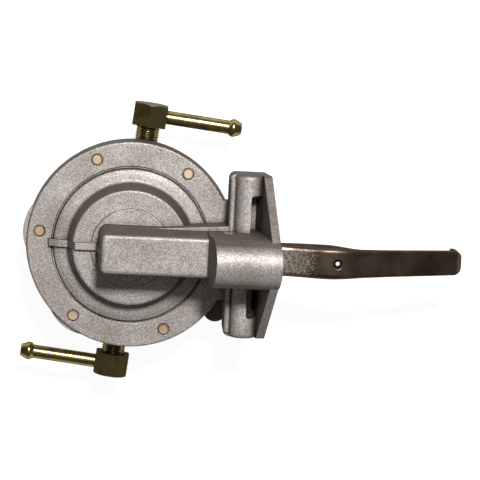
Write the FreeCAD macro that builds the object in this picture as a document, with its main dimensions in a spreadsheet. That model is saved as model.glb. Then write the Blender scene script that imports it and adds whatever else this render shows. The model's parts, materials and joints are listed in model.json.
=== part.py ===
"""Mechanical diaphragm fuel pump with an inclined flange and a cam-driven rocker arm.

Millimetres. The pump stands on its pulsator cover: the origin is the centre of the cover's
flat underside, +Z is the pump's axis and +X points along the rocker arm towards the cam.
"""
import FreeCAD, Part
import math
import os
import Sketcher
from FreeCAD import Placement, Rotation, Vector
from types import SimpleNamespace

# Driving dimensions: name, size, meaning. Heights named *_height count from the rim's top face.
SIZES = [
    ("rim_top", 46.0, "rim's top face above the base"),
    ("rim_edge", 6.0, "rim's top face outside the screws' circle"),
    ("rim_thickness", 8.0, "rim down to the clamped diaphragm"),
    ("rim_flare", 0.8, "draft of the rim's side wall"),
    ("rim_round", 1.0, "rounding of the rim's top edge"),
    ("lug_rise", 2.5, "how far the pad on the rim stands out"),
    ("lug_low_rise", 1.7, "the same for the pad towards the inlet"),
    ("lug_angle", 171.5, "where the first pad stands, degrees from +X"),
    ("lug_low_angle", 233.0, "where the other pad stands"),
    ("lug_radius", 21.3, "radius of the pads' outline"),
    ("lug_drop", 1.6, "pads' top below the rim's top"),
    ("crease_radius", 39.5, "groove between rim and bead"),
    ("crease_depth", 0.7, "depth of that groove"),
    ("bead_radius", 36.4, "middle of the raised bead"),
    ("bead_height", 2.3, "bead above the rim"),
    ("foot_radius", 32.2, "foot of the central disc's wall"),
    ("foot_round", 2.6, "hollow at that foot"),
    ("disc_radius", 29.0, "central disc"),
    ("disc_height", 10.5, "central disc above the rim"),
    ("step_radius", 19.9, "fine step on the disc"),
    ("step_height", 0.5, "height of that step"),
    ("casting_wall", 4.0, "wall of the housing's dome"),
    ("chamber_inset", 5.5, "diaphragm's free edge inside the screws' circle"),
    ("box_left", 17.0, "rocker box's end to the pump's axis, at rim level"),
    ("box_right", 46.0, "rocker box's other end, inside the neck"),
    ("box_half_width", 12.5, "at rim level"),
    ("box_height", 35.5, "rocker box above the rim"),
    ("box_draft", 4.1, "draft of the box's walls, degrees"),
    ("box_corner", 5.2, "rounding of the box's upright corners at rim level"),
    ("box_round", 2.1, "rounding of the box's top edges"),
    ("box_wall", 3.5, "roof of the box"),
    ("cavity_half_width", 8.2, "inside of the box"),
    ("cavity_floor", 13.0, "floor of the box's cavity above the rim"),
    ("cavity_left", 12.5, "cavity's end to the pump's axis"),
    ("neck_radius", 12.5, "half-round neck"),
    ("neck_axis_height", 40.6, "axis of the neck's half-round above the rim"),
    ("neck_foot", 38.4, "neck's end wall at the box's roof"),
    ("neck_lean", 3.8, "how far the end wall leans back up to the neck's crest"),
    ("neck_wall", 3.0, "wall of the neck"),
    ("neck_fillet", 1.5, "hollow at the neck's foot on the roof"),
    ("window_floor", 12.0, "floor of the lever's window above the rim"),
    ("gusset_start", 9.0, "where the box's side gussets begin"),
    ("gusset_flare", 2.6, "how far they spread by the ears"),
    ("gusset_height", 17.5, "top of the gussets"),
    ("bridge_half_width", 25.6, "plate between rim and flange"),
    ("bridge_thickness", 7.0, "of that plate"),
    ("flange_room", 13.5, "mounting face at rim level, outside the rim"),
    ("flange_aside", 0.9, "flange, ears and neck lie this far towards the inlet"),
    ("flange_tilt", 8.8, "mounting face against the pump's axis, degrees"),
    ("flange_thickness", 4.2, "mounting plate"),
    ("flange_foot", 20.0, "mounting plate's reach below rim level"),
    ("flange_foot_half_width", 13.0, "half width of its lower edge"),
    ("flange_corner", 2.5, "rounding of the plate's corners at the ears"),
    ("flange_shoulder", 46.5, "plate's height where it meets the neck"),
    ("ear_half_span", 41.1, "ends of the ears"),
    ("ear_depth", 17.8, "ears' back wall behind the face"),
    ("ear_web_height", 16.0, "ears' web between ridge and lip"),
    ("ear_tip_height", 19.5, "mounting plate's height at the ears"),
    ("ridge_inset", 8.0, "middle of the ears' ridge behind the face"),
    ("ridge_radius", 8.0, "of the ridge"),
    ("ridge_height", 21.0, "crest of the ridge"),
    ("ridge_round", 2.5, "rounding of the ridge's ends"),
    ("lip_radius", 1.7, "rounded lip on the ears' back wall"),
    ("lip_height", 18.0, "top of that lip"),
    ("ear_corner", 3.3, "rounding of the ears' back corners"),
    ("pocket_inset", 6.8, "pocket's back wall behind the face"),
    ("pocket_corner", 1.5, "rounding of the pocket's corner"),
    ("pocket_end", 31.0, "pocket's end to the middle plane"),
    ("pocket_floor", 5.0, "pocket's floor above the rim"),
    ("bolt_spacing", 66.0, "between the mounting bolts' holes"),
    ("bolt_hole_radius", 4.5, "mounting bolts' holes"),
    ("bolt_height", 7.0, "bolt holes above the rim, along the face"),
    ("rib_start", 42.0, "rib's outer end to the pump's axis"),
    ("rib_width", 3.5, "radial rib"),
    ("rib_height", 2.3, "rib above what it crosses"),
    ("port_turn", 6.4, "screws and ports are turned this far clockwise, degrees"),
    ("screw_room", 5.3, "clamp screws' circle outside the fuel chamber's wall"),
    ("screw_radius", 2.5, "clamp screws"),
    ("screw_tip", 0.9, "tips' reach above the rim"),
    ("screw_head_height", 3.5, "clamp screws' heads"),
    ("screw_across_flats", 8.0, "clamp screws' heads"),
    ("lock_washer_height", 1.2, "spring washers"),
    ("lock_washer_radius", 4.4, "spring washers"),
    ("countersink_radius", 3.05, "screw holes' mouths in the rim"),
    ("thread_play", 0.05, "radial room round a screwed or pressed thread"),
    ("membrane_thickness", 0.8, "diaphragm"),
    ("membrane_drop", 2.0, "diaphragm's middle below its rim, at rest"),
    ("plate_radius", 27.0, "protector plates"),
    ("plate_thickness", 1.0, "protector plates"),
    ("rod_radius", 2.5, "pull rod"),
    ("rod_end", 0.6, "rod's lower end above the chamber's floor"),
    ("rod_head_radius", 4.6, "pull rod's head"),
    ("rod_head_height", 2.4, "pull rod's head"),
    ("nut_radius", 5.0, "riveted collar under the plates"),
    ("nut_height", 1.3, "of that collar"),
    ("running_play", 0.05, "radial room of a running fit"),
    ("seal_radius", 8.0, "rod seal's pocket"),
    ("seal_height", 3.0, "rod seal"),
    ("retainer_radius", 14.0, "seal retainer, which seats the spring"),
    ("retainer_height", 1.0, "seal retainer"),
    ("rod_hole_radius", 4.2, "rod's hole in the box floor"),
    ("spring_coil_radius", 11.6, "diaphragm spring"),
    ("spring_wire_radius", 1.0, "diaphragm spring"),
    ("spring_turns", 3.5, "diaphragm spring"),
    ("seat_gap", 0.1, "room between a spring's end and its seat"),
    ("body_rim_thickness", 5.6, "fuel chamber's rim"),
    ("body_rim_inset", 0.2, "fuel chamber's rim inside the housing's"),
    ("body_radius", 41.2, "fuel chamber's side wall"),
    ("foot_lip", 1.3, "fuel chamber's foot outside its wall; the cover grips it"),
    ("body_foot_height", 3.0, "of that foot"),
    ("body_wall", 4.6, "fuel chamber's wall"),
    ("body_base", 9.0, "fuel chamber's underside above the base"),
    ("chamber_depth", 5.2, "diaphragm chamber in the fuel chamber"),
    ("chamber_floor_radius", 31.0, "flat floor of that chamber"),
    ("web_thickness", 4.0, "wall that carries the valves"),
    ("divider_thickness", 4.0, "wall between inlet and outlet chambers"),
    ("port_drop", 18.5, "port axis below the rim's top"),
    ("port_boss_radius", 8.6, "port bosses"),
    ("port_inset", 2.2, "port bosses' faces inside the rim"),
    ("port_bore_radius", 3.4, "fuel passages"),
    ("stem_radius", 6.0, "fittings' threaded stems"),
    ("stem_root_radius", 5.45, "bare stem at its thread's root"),
    ("stem_engagement", 10.0, "stem inside its port"),
    ("side_boss_radius", 6.2, "undrilled boss beside the flange"),
    ("side_boss_room", 14.6, "its axis outside the chamber's wall"),
    ("side_boss_top", 36.5, "its top above the base"),
    ("side_boss_height", 17.0, "of that boss"),
    ("side_boss_web", 8.0, "web that carries it"),
    ("elbow_room", 12.9, "hexagon's middle outside the rim"),
    ("elbow_length", 11.6, "hexagon along the stem"),
    ("elbow_across_flats", 17.0, "hexagon"),
    ("elbow_chamfer", 1.3, "turned chamfer on the hexagon's outer end"),
    ("elbow_bore_radius", 2.6, "passage in stem and hexagon"),
    ("tube_radius", 3.5, "hose nipple"),
    ("tube_bore_radius", 2.2, "hose nipple"),
    ("tube_socket", 5.0, "nipple inside the hexagon"),
    ("tube_spigot_radius", 3.1, "of that end"),
    ("tube_reach", 47.3, "nipple's end to the stem's axis"),
    ("tube_bead_radius", 4.6, "hose bead"),
    ("tube_bead_length", 6.6, "bead and lead-in"),
    ("tube_tip_radius", 3.1, "nipple's end"),
    ("valve_offset", 18.0, "valves to the pump's axis"),
    ("valve_boss_radius", 11.0, "bosses round the valves"),
    ("valve_pocket_radius", 8.3, "valve pockets"),
    ("valve_depth", 14.0, "valve pockets' length"),
    ("valve_plate", 1.4, "valve seats and cages"),
    ("valve_port_radius", 3.6, "opening in seats and cages"),
    ("valve_disc_radius", 5.6, "valve discs"),
    ("valve_disc_thickness", 1.2, "valve discs"),
    ("valve_spring_coil_radius", 2.9, "valve springs"),
    ("valve_spring_wire_radius", 0.35, "valve springs"),
    ("valve_spring_turns", 3.0, "valve springs"),
    ("cover_thickness", 1.2, "pulsator cover's sheet"),
    ("cover_inset", 5.5, "cover's foot turns up this far inside the chamber's foot"),
    ("cover_round", 2.5, "rounding of the cover's foot"),
    ("cover_curl", 1.6, "how far the crimped edge reaches over the foot"),
    ("pulsator_thickness", 1.0, "pulsator diaphragm"),
    ("pivot_x", 50.0, "rocker's pin to the pump's axis"),
    ("pivot_height", 25.0, "rocker's pin above the rim"),
    ("pin_radius", 4.0, "rocker's pin"),
    ("arm_half_width", 8.05, "rocker arm's channel at its bend"),
    ("arm_root_half_width", 7.7, "rocker arm inside the housing"),
    ("arm_sheet", 2.0, "rocker arm's sheet"),
    ("arm_fold", 2.6, "rounding where the sheet is folded"),
    ("arm_depth", 10.8, "height of the channel's walls"),
    ("arm_strip", 3.4, "thickness of the flat end"),
    ("arm_eye_radius", 7.0, "round the pin"),
    ("arm_crown_height", 34.4, "web's top over the pin, above the rim"),
    ("arm_waist_x", 78.0, "where the web starts to rise, at the flange"),
    ("arm_waist_drop", 1.8, "web over the spring, below the crown"),
    ("arm_bend_x", 102.5, "where the two straight runs would meet"),
    ("arm_bend_rise", 2.96, "their meeting point above the crown"),
    ("arm_bend_round", 35.0, "rounding of that bend"),
    ("arm_reach", 167.6, "outer face of the turned-down tip"),
    ("arm_tip_height", 14.2, "where that face would meet the lever's top, above the rim"),
    ("arm_tip_drop", 9.3, "tip below that point"),
    ("arm_tip_round", 6.0, "rounding of the tip's turn"),
    ("arm_tip_depth", 5.5, "turned-down tip along X"),
    ("arm_tip_half_width", 6.05, "flat end"),
    ("arm_tip_corner", 4.5, "rounding of its corners"),
    ("arm_hole_radius", 1.0, "small hole in the web"),
    ("arm_dimple_radius", 2.6, "punched funnel round the hole"),
    ("arm_dimple_depth", 2.3, "of that funnel"),
    ("tail_x", 36.0, "end of the tab that lifts the link"),
    ("tail_height", 20.0, "tab's top above the rim"),
    ("link_eye_radius", 6.0, "link round the pin"),
    ("link_half_width", 5.6, "link at the pin"),
    ("link_arm_half_width", 4.5, "link's arm"),
    ("link_end_height", 19.5, "middle of the link's round end above the rim"),
    ("link_end_radius", 3.0, "link's round end"),
    ("link_slot_half_width", 2.8, "fork's slot"),
    ("lift_play", 0.1, "room between link and rod head"),
    ("arm_spring_x", 64.0, "rocker spring to the pump's axis"),
    ("arm_spring_coil_radius", 4.4, "rocker spring"),
    ("arm_spring_wire_radius", 0.6, "rocker spring"),
    ("arm_spring_turns", 5.0, "rocker spring"),
]


class Size:
    """A dimension: its number, and the expression that ties it to the sheet."""

    def __init__(self, number, text):
        self.number = number
        self.text = text

    def combine(self, other, sign, swap=False):
        first, second = (to_size(other), self) if swap else (self, to_size(other))
        operate = {"+": lambda a, b: a + b, "-": lambda a, b: a - b,
                   "*": lambda a, b: a * b, "/": lambda a, b: a / b}[sign]
        return Size(operate(first.number, second.number), f"({first.text} {sign} {second.text})")

    def __add__(self, other):
        return self.combine(other, "+")

    def __radd__(self, other):
        return self.combine(other, "+", swap=True)

    def __sub__(self, other):
        return self.combine(other, "-")

    def __rsub__(self, other):
        return self.combine(other, "-", swap=True)

    def __mul__(self, other):
        return self.combine(other, "*")

    def __rmul__(self, other):
        return self.combine(other, "*", swap=True)

    def __truediv__(self, other):
        return self.combine(other, "/")

    def __neg__(self):
        return Size(-self.number, f"(-1 * {self.text})")


def to_size(value):
    return value if isinstance(value, Size) else Size(float(value), f"({value})")


def sine(angle):
    angle = to_size(angle)
    return Size(math.sin(math.radians(angle.number)), f"sin({angle.text} * 1deg)")


def cosine(angle):
    angle = to_size(angle)
    return Size(math.cos(math.radians(angle.number)), f"cos({angle.text} * 1deg)")


def tangent(angle):
    angle = to_size(angle)
    return Size(math.tan(math.radians(angle.number)), f"tan({angle.text} * 1deg)")


def fill_sheet(doc):
    """Writes the driving dimensions into the sheet and returns them by name."""
    sheet = doc.addObject("Spreadsheet::Sheet", "Sizes")
    for row, (name, number, meaning) in enumerate(SIZES, start=1):
        sheet.set(f"A{row}", name)
        sheet.set(f"B{row}", str(number))
        sheet.set(f"C{row}", meaning)
        sheet.setAlias(f"B{row}", name)
    doc.recompute()
    return SimpleNamespace(**{name: Size(number, f"Sizes.{name}") for name, number, _ in SIZES})


def derive(s):
    """Sizes that follow from others, so that neighbouring pieces keep clear of each other."""
    s.screw_circle = s.body_radius + s.screw_room
    s.rim_radius = s.screw_circle + s.rim_edge
    s.chamber_radius = s.screw_circle - s.chamber_inset
    s.body_foot_radius = s.body_radius + s.foot_lip
    s.cover_foot_radius = s.body_foot_radius - s.cover_inset
    s.side_boss_reach = s.body_radius + s.side_boss_room
    s.port_face = s.rim_radius - s.port_inset
    s.elbow_centre = s.rim_radius + s.elbow_room
    s.flange_face = s.rim_radius + s.flange_room
    s.ear_left = s.flange_face - s.ear_depth
    s.ridge_x = s.flange_face - s.ridge_inset
    s.pocket_left = s.flange_face - s.pocket_inset
    s.arm_waist_height = s.arm_crown_height - s.arm_waist_drop
    s.arm_bend_height = s.arm_crown_height + s.arm_bend_rise
    return s


def bind(item, property_name, value):
    """Sets a property and ties it to the sheet where the value comes from there."""
    value = to_size(value)
    item.setExpression(property_name, value.text)


def new_body(doc, name):
    body = doc.addObject("PartDesign::Body", name)
    body.Label = name
    return body


def origin_part(body, role):
    return next(item for item in body.Origin.OriginFeatures if item.Role == role)


def sketch_on(body, name, plane="XY_Plane", offset=(0, 0, 0), tilt=None):
    """A sketch on one of the body's own planes; offset is in the plane's x, y and normal."""
    sketch = body.newObject("Sketcher::SketchObject", name)
    sketch.AttachmentSupport = [(origin_part(body, plane), "")]
    sketch.MapMode = "FlatFace"
    offset = [to_size(value) for value in offset]
    turn = Rotation(Vector(1, 0, 0), tilt.number if tilt else 0)
    sketch.AttachmentOffset = Placement(Vector(*[value.number for value in offset]), turn)
    for axis, value in zip("xyz", offset):
        bind(sketch, f"AttachmentOffset.Base.{axis}", value)
    if tilt:
        bind(sketch, "AttachmentOffset.Rotation.Angle", tilt)
    return sketch


def fix_point(sketch, edge, end, point):
    for kind, value in zip(("DistanceX", "DistanceY"), point):
        value = to_size(value)
        index = sketch.addConstraint(Sketcher.Constraint(kind, -1, 1, edge, end, value.number))
        bind(sketch, f"Constraints[{index}]", value)


def corner_arc(before, corner, after, radius):
    """The tangent points, the circle and its angles for a rounded corner."""
    inward, onward = (before - corner).normalize(), (after - corner).normalize()
    half = inward.getAngle(onward) / 2
    reach = radius / math.tan(half)
    entry, leave = corner + inward * reach, corner + onward * reach
    centre = corner + (inward + onward).normalize() * (radius / math.sin(half))
    left_turn = inward.cross(onward).z < 0
    first, last = (entry, leave) if left_turn else (leave, entry)
    angles = [math.atan2(point.y - centre.y, point.x - centre.x) for point in (first, last)]
    arc = Part.ArcOfCircle(Part.Circle(centre, Vector(0, 0, 1), radius), *angles)
    return entry, leave, arc, left_turn


def outline(sketch, corners):
    """A closed outline through the corners; a third value rounds that corner."""
    count = len(corners)
    points = [Vector(to_size(corner[0]).number, to_size(corner[1]).number, 0) for corner in corners]
    starts, ends, arcs = list(points), list(points), {}
    for index, corner in enumerate(corners):
        if len(corner) == 3:
            entry, leave, arc, left_turn = corner_arc(
                points[index - 1], points[index], points[(index + 1) % count], to_size(corner[2]).number)
            ends[index], starts[index] = entry, leave
            arcs[index] = (sketch.addGeometry(arc, False), left_turn)
    lines = [sketch.addGeometry(Part.LineSegment(starts[index], ends[(index + 1) % count]), False)
             for index in range(count)]
    for index, corner in enumerate(corners):
        before, after = lines[index - 1], lines[index]
        if index not in arcs:
            sketch.addConstraint(Sketcher.Constraint("Coincident", before, 2, after, 1))
            fix_point(sketch, after, 1, corner)
            continue
        arc, left_turn = arcs[index]
        first, last = (1, 2) if left_turn else (2, 1)
        sketch.addConstraint(Sketcher.Constraint("Tangent", before, 2, arc, first))
        sketch.addConstraint(Sketcher.Constraint("Tangent", after, 1, arc, last))
        mark = sketch.addGeometry(Part.Point(points[index]), True)
        sketch.addConstraint(Sketcher.Constraint("PointOnObject", mark, 1, before))
        sketch.addConstraint(Sketcher.Constraint("PointOnObject", mark, 1, after))
        fix_point(sketch, mark, 1, corner[:2])
        rounding = sketch.addConstraint(Sketcher.Constraint("Radius", arc, to_size(corner[2]).number))
        bind(sketch, f"Constraints[{rounding}]", corner[2])
    return sketch


def mirrored_outline(sketch, half):
    """A closed outline: the right half from bottom to top, and the same on the left."""
    return outline(sketch, half + [(-corner[0], *corner[1:]) for corner in reversed(half)])


def circle(sketch, centre, radius):
    radius = to_size(radius)
    middle = Vector(*[to_size(value).number for value in centre], 0)
    edge = sketch.addGeometry(Part.Circle(middle, Vector(0, 0, 1), radius.number), False)
    fix_point(sketch, edge, 3, centre)
    index = sketch.addConstraint(Sketcher.Constraint("Radius", edge, radius.number))
    bind(sketch, f"Constraints[{index}]", radius)
    return sketch


def ring(sketch, centre, inner, outer):
    circle(sketch, centre, outer)
    return circle(sketch, centre, inner)


def arch(sketch, half_width, floor, spring):
    """Upright sides from the floor up to the spring line, with a half-round top."""
    half_width, floor, spring = to_size(half_width), to_size(floor), to_size(spring)
    low = [Vector(sign * half_width.number, floor.number, 0) for sign in (-1, 1)]
    high = [Vector(sign * half_width.number, spring.number, 0) for sign in (-1, 1)]
    top = Part.Circle(Vector(0, spring.number, 0), Vector(0, 0, 1), half_width.number)
    edges = [Part.LineSegment(low[0], low[1]), Part.LineSegment(low[1], high[1]),
             Part.ArcOfCircle(top, 0, math.pi), Part.LineSegment(high[0], low[0])]
    for edge in edges:
        sketch.addGeometry(edge, False)
    for first, second in ((0, 1), (1, 2), (2, 3), (3, 0)):
        sketch.addConstraint(Sketcher.Constraint("Coincident", first, 2, second, 1))
    fix_point(sketch, 0, 1, (-half_width, floor))
    fix_point(sketch, 1, 1, (half_width, floor))
    fix_point(sketch, 2, 3, (0, spring))
    fix_point(sketch, 2, 1, (half_width, spring))
    index = sketch.addConstraint(Sketcher.Constraint("DistanceY", -1, 1, 3, 1, spring.number))
    bind(sketch, f"Constraints[{index}]", spring)
    return sketch


def polygon(sketch, centre, across_flats, sides=6, first_angle=0):
    """A regular polygon whose first corner lies at first_angle."""
    reach = to_size(across_flats) / 2 / cosine(180 / sides)
    corners = []
    for step in range(sides):
        angle = first_angle + 360 * step / sides
        corners.append((centre[0] + reach * math.cos(math.radians(angle)),
                        centre[1] + reach * math.sin(math.radians(angle))))
    return outline(sketch, corners)


def feature(body, kind, sketch, **settings):
    item = body.newObject(f"PartDesign::{kind}", f"{sketch.Name}_{kind.lower()}")
    item.Profile = sketch
    for name, value in settings.items():
        if isinstance(value, (Size, float)):
            bind(item, name, value)
        else:
            setattr(item, name, value)
    sketch.Visibility = False
    return item


def pad(body, sketch, length, both=False, back=False, **settings):
    if both:
        settings["SideType"] = "Symmetric"
    return feature(body, "Pad", sketch, Length=to_size(length), Reversed=back, **settings)


def pocket(body, sketch, length, both=False, back=False, **settings):
    """Cuts against the sketch's normal; back cuts along it."""
    if both:
        settings["SideType"] = "Symmetric"
    return feature(body, "Pocket", sketch, Length=to_size(length), Reversed=back, **settings)


def revolve(body, sketch, axis="V_Axis"):
    return feature(body, "Revolution", sketch, ReferenceAxis=(sketch, [axis]), Angle=360.0)


def groove(body, sketch, axis="V_Axis"):
    return feature(body, "Groove", sketch, ReferenceAxis=(sketch, [axis]), Angle=360.0)


def turned(body, name, corners, **settings):
    """A solid of revolution about Z from (radius, height) corners."""
    return revolve(body, outline(sketch_on(body, name, "XZ_Plane", **settings), corners))


def coil(body, name, coil_radius, wire_radius, start, height, turns, offset_x=0):
    """An open coil from start, over the height between its wire's lowest and highest points."""
    sketch = sketch_on(body, name, "XZ_Plane")
    circle(sketch, (offset_x + coil_radius, start + wire_radius), wire_radius)
    offset_x = to_size(offset_x)
    axis = sketch.addGeometry(Part.LineSegment(Vector(offset_x.number, 0, 0),
                                               Vector(offset_x.number, height.number, 0)), True)
    fix_point(sketch, axis, 1, (offset_x, 0))
    fix_point(sketch, axis, 2, (offset_x, height))
    item = body.newObject("PartDesign::AdditiveHelix", name + "_coil")
    item.Profile = sketch
    item.ReferenceAxis = (sketch, ["Axis0"])
    item.Mode = 2
    bind(item, "Height", height - wire_radius * 2)
    bind(item, "Turns", turns)
    return item


def polar_copies(body, originals, count):
    pattern = body.newObject("PartDesign::PolarPattern", "copies")
    pattern.Originals = originals
    pattern.Axis = (origin_part(body, "Z_Axis"), [""])
    pattern.Angle = 360
    pattern.Occurrences = count
    body.Tip = pattern
    return pattern


def edges_where(body, test):
    """Names of the body's present edges that pass the test."""
    body.Document.recompute()
    return [f"Edge{index}" for index, edge in enumerate(body.Shape.Edges, start=1) if test(edge)]


def is_ring(edge, radius, height, slack=0.02):
    """Whether an edge is a circle about Z of this radius at this height."""
    curve = edge.Curve
    if not isinstance(curve, Part.Circle):
        return False
    same_radius = abs(curve.Radius - radius.number) < slack
    centred = math.hypot(curve.Center.x, curve.Center.y) < slack
    return same_radius and centred and abs(curve.Center.z - height.number) < slack


def soften(body, kind, size, test):
    """A fillet or chamfer on every edge that passes the test."""
    names = edges_where(body, test)
    if not names:
        raise RuntimeError(f"no edge to soften after {body.Tip.Name}")
    previous = body.Tip
    item = body.newObject(f"PartDesign::{kind}", f"{previous.Name}_soft")
    item.Base = (previous, names)
    bind(item, "Radius" if kind == "Fillet" else "Size", size)
    return item


def turn_with_ports(body, s):
    """Turns a piece from the ports' frame, where they lie along Y, into the pump's frame."""
    body.Placement = Placement(Vector(0, 0, 0), Rotation(Vector(0, 0, -1), s.port_turn.number))
    bind(body, "Placement.Rotation.Angle", s.port_turn)


def levels(s):
    """Heights that several pieces share."""
    clamp = s.rim_top - s.rim_thickness
    body_top = clamp - s.membrane_thickness
    floor = body_top - s.chamber_depth
    membrane_top = clamp - s.membrane_drop
    return SimpleNamespace(
        clamp=clamp,
        body_top=body_top,
        body_rim_low=body_top - s.body_rim_thickness,
        floor=floor,
        web_low=floor - s.web_thickness,
        membrane_top=membrane_top,
        membrane_low=membrane_top - s.membrane_thickness,
        ceiling=s.rim_top + s.disc_height - s.casting_wall,
        port=s.rim_top - s.port_drop,
        cavity_floor=s.rim_top + s.cavity_floor,
        cavity_roof=s.rim_top + s.box_height - s.box_wall,
        pivot=s.rim_top + s.pivot_height,
        neck_axis=s.rim_top + s.neck_axis_height,
        window_floor=s.rim_top + s.window_floor,
        head_low=s.rim_top + s.link_end_height + s.link_end_radius + s.lift_play,
        valve_low=floor - s.valve_depth)


def housing_dome(body, s, z):
    """The rim, bead and central disc as one turned form."""
    disc_top = s.rim_top + s.disc_height
    bead_top = s.rim_top + s.bead_height
    turned(body, "dome", [
        (0, z.clamp), (s.rim_radius + s.rim_flare, z.clamp), (s.rim_radius, s.rim_top, s.rim_round),
        (s.crease_radius + 0.8, s.rim_top), (s.crease_radius, s.rim_top - s.crease_depth, 0.35),
        (s.crease_radius - 0.7, bead_top - 0.75, 0.9), (s.bead_radius, bead_top, 4),
        (s.foot_radius, bead_top + 0.5, s.foot_round), (s.disc_radius, disc_top, s.rim_round * 1.3),
        (s.step_radius + 0.2, disc_top), (s.step_radius - 0.2, disc_top + s.step_height),
        (0, disc_top + s.step_height)])


def housing_lugs(body, s, z):
    """Two pads on the rim's side wall, at the screws on the side away from the flange."""
    for name, angle, rise in (("lug", s.lug_angle, s.lug_rise), ("lug_low", s.lug_low_angle, s.lug_low_rise)):
        reach = s.rim_radius + rise - s.lug_radius
        sketch = sketch_on(body, name, offset=(0, 0, z.clamp))
        circle(sketch, (reach * cosine(angle), reach * sine(angle)), s.lug_radius)
        pad(body, sketch, s.rim_thickness - s.lug_drop)


def housing_box(body, s):
    """The tapered box over the rocker, with round corners and soft roof edges."""
    sketch = sketch_on(body, "box", offset=(0, 0, s.rim_top))
    outline(sketch, [(-s.box_left, -s.box_half_width, s.box_corner), (s.box_right, -s.box_half_width),
                     (s.box_right, s.box_half_width), (-s.box_left, s.box_half_width, s.box_corner)])
    item = pad(body, sketch, s.box_height)
    bind(item, "TaperAngle", -s.box_draft)
    roof = (s.rim_top + s.box_height).number
    middle = (s.box_right - s.box_left).number / 2

    def roof_edge(edge):
        box = edge.BoundBox
        return min(box.ZMin, roof - 0.05) > roof - 0.06 and box.ZMax < roof + 0.05 and box.XMin < middle

    soften(body, "Fillet", s.box_round, roof_edge)


def housing_flange(body, s, z):
    """The inclined mounting plate, the two ears behind it, the bridge and the gussets."""
    bridge = sketch_on(body, "bridge", offset=(0, -s.flange_aside, s.rim_top - s.bridge_thickness))
    outline(bridge, [(s.chamber_radius + 1, -s.bridge_half_width), (s.flange_face, -s.bridge_half_width),
                     (s.flange_face, s.bridge_half_width), (s.chamber_radius + 1, s.bridge_half_width)])
    pad(body, bridge, s.bridge_thickness)

    root = s.box_half_width - s.gusset_height * tangent(s.box_draft)
    gusset = sketch_on(body, "gussets", offset=(0, 0, s.rim_top))
    outline(gusset, [(s.gusset_start, -root), (s.ear_left, -(root + s.gusset_flare)),
                     (s.flange_face, -(root + s.gusset_flare)), (s.flange_face, root + s.gusset_flare),
                     (s.ear_left, root + s.gusset_flare), (s.gusset_start, root)])
    pad(body, gusset, s.gusset_height)

    web = outline(sketch_on(body, "ear_web", "XZ_Plane", (0, 0, s.flange_aside)), [
        (s.ear_left, s.rim_top), (s.flange_face, s.rim_top),
        (s.flange_face + 1.5, s.rim_top + s.ear_web_height), (s.ear_left, s.rim_top + s.ear_web_height)])
    pad(body, web, s.ear_half_span * 2, both=True)

    def back_corner(edge):
        box = edge.BoundBox
        return box.XMax < s.ear_left.number + 0.01 and box.ZMax - box.ZMin > 10 \
            and abs(box.Center.y + s.flange_aside.number) > s.ear_half_span.number - 0.1

    soften(body, "Fillet", s.ear_corner, back_corner)
    ridge_end = s.ear_half_span + 0.3
    ridge = outline(
        sketch_on(body, "ear_ridge", offset=(s.ridge_x, -s.flange_aside,
                                             s.rim_top + s.ridge_height - s.ridge_radius)),
        [(0, -ridge_end), (s.ridge_radius, -ridge_end, s.ridge_round),
         (s.ridge_radius, ridge_end, s.ridge_round), (0, ridge_end)])
    revolve(body, ridge)
    lip = circle(sketch_on(body, "ear_lip", "XZ_Plane", (0, 0, s.flange_aside)),
                 (s.ear_left + s.lip_radius, s.rim_top + s.lip_height - s.lip_radius), s.lip_radius)
    pad(body, lip, s.ear_half_span * 2 - s.ear_corner * 1.4, both=True)
    housing_pockets(body, s)
    plate = sketch_on(body, "mounting_plate", "YZ_Plane", (-s.flange_aside, s.rim_top, s.flange_face),
                      s.flange_tilt)
    mirrored_outline(plate, [(s.flange_foot_half_width, -s.flange_foot), (s.ear_half_span, 0),
                             (s.ear_half_span, s.ear_tip_height, s.flange_corner),
                             (s.neck_radius - 1.7, s.flange_shoulder)])
    pad(body, plate, s.flange_thickness, back=True)


def housing_neck(body, s, z):
    """The half-round neck between box and flange, its end wall leaning back."""
    neck = sketch_on(body, "neck", "YZ_Plane", (-s.flange_aside, 0, s.neck_foot))
    arch(neck, s.neck_radius, s.rim_top, z.neck_axis)
    pad(body, neck, s.flange_face + 14 - s.neck_foot)
    roof = s.rim_top + s.box_height
    crest = z.neck_axis + s.neck_radius + 1
    lean = outline(sketch_on(body, "neck_lean", "XZ_Plane"), [
        (s.neck_foot - 1, roof), (s.neck_foot, roof), (s.neck_foot + s.neck_lean, crest),
        (s.neck_foot - 1, crest)])
    pocket(body, lean, s.neck_radius * 3, both=True)
    low = (crest - roof) * 0.2
    hollow = outline(sketch_on(body, "neck_hollow", "XZ_Plane"), [
        (s.neck_foot - 3, roof - 1), (s.neck_foot - 3, roof), (s.neck_foot, roof, s.neck_fillet),
        (s.neck_foot + s.neck_lean * 0.2, roof + low), (s.neck_foot + 2, roof + low),
        (s.neck_foot + 2, roof - 1)])
    flat = s.box_half_width - s.box_height * tangent(s.box_draft) - s.box_round
    pad(body, hollow, flat * 2, both=True)


def housing_rib(body, s):
    """The radial rib from the rim over the bead, up the disc and the box's end."""
    disc_top = s.rim_top + s.disc_height + s.rib_height
    roof = s.rim_top + s.box_height
    end = s.box_left - s.box_height * tangent(s.box_draft)
    rib = outline(sketch_on(body, "rib", "XZ_Plane"), [
        (-s.rib_start, s.rim_top - 1), (-(s.rib_start - 0.7), s.rim_top + s.rib_height),
        (-s.bead_radius, s.rim_top + s.bead_height + s.rib_height),
        (-(s.foot_radius - 0.4), s.rim_top + s.bead_height + s.rib_height + 0.6),
        (-(s.disc_radius - 1.2), disc_top), (-(s.box_left + 0.3), disc_top),
        (-(end + 0.5), roof - s.box_round - 1.5), (-(end - 3), roof - s.box_round - 1.5),
        (-(end - 3), s.rim_top - 1)])
    pad(body, rib, s.rib_width, both=True)


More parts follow.
